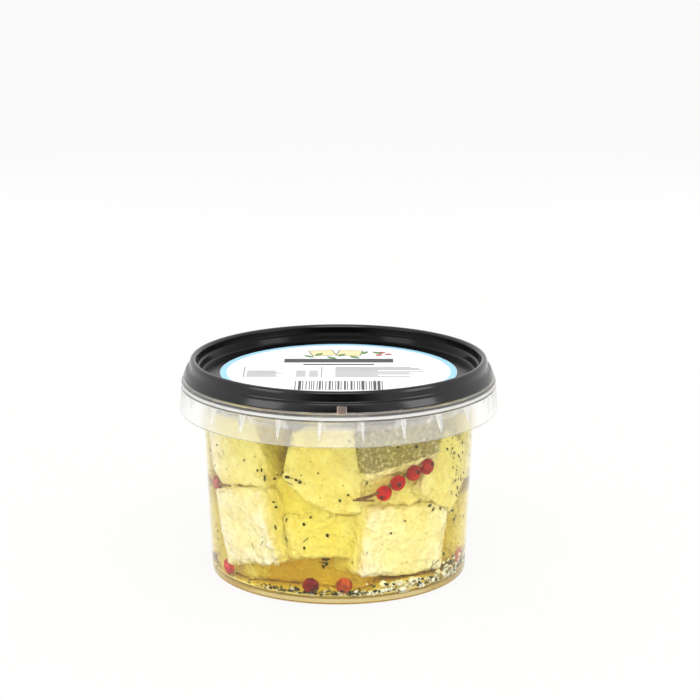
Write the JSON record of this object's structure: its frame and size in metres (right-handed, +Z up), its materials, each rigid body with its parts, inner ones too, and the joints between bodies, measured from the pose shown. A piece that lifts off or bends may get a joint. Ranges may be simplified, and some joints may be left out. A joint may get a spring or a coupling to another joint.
{
  "type": "marinated feta tub",
  "caption": "Round clear plastic tub with a hanging ribbed collar and a black lid with a paper label, filled with feta cubes, herbs and pink peppercorns in oil.",
  "frame": {"origin": "centre of the tub's base, on the plane it stands on", "axes": "+Z up along the tub's axis, -Y towards the side that the picture shows, +X to its right"},
  "size_m": [0.0974, 0.0974, 0.0664],
  "materials": {
    "clear_plastic": "clear, slightly milky moulded polypropylene",
    "black_plastic": "satin black moulded polypropylene",
    "label_paper": "smooth white label paper with a light blue border",
    "feta": "moist, finely pitted pale cheese",
    "pink_peppercorn": "thin dry red skin, oiled",
    "oil": "clear golden oil",
    "herbs": "dried dark green flakes"
  },
  "bodies": {
    "root": {"tub": "clear_plastic", "lid": "black_plastic", "lid_label": "label_paper", "feta_heap": "feta", "peppercorn_sprig": "pink_peppercorn", "peppercorn_1": "pink_peppercorn", "peppercorn_2": "pink_peppercorn", "peppercorn_3": "pink_peppercorn", "peppercorn_4": "pink_peppercorn", "peppercorn_5": "pink_peppercorn"}
  },
  "joints": []
}
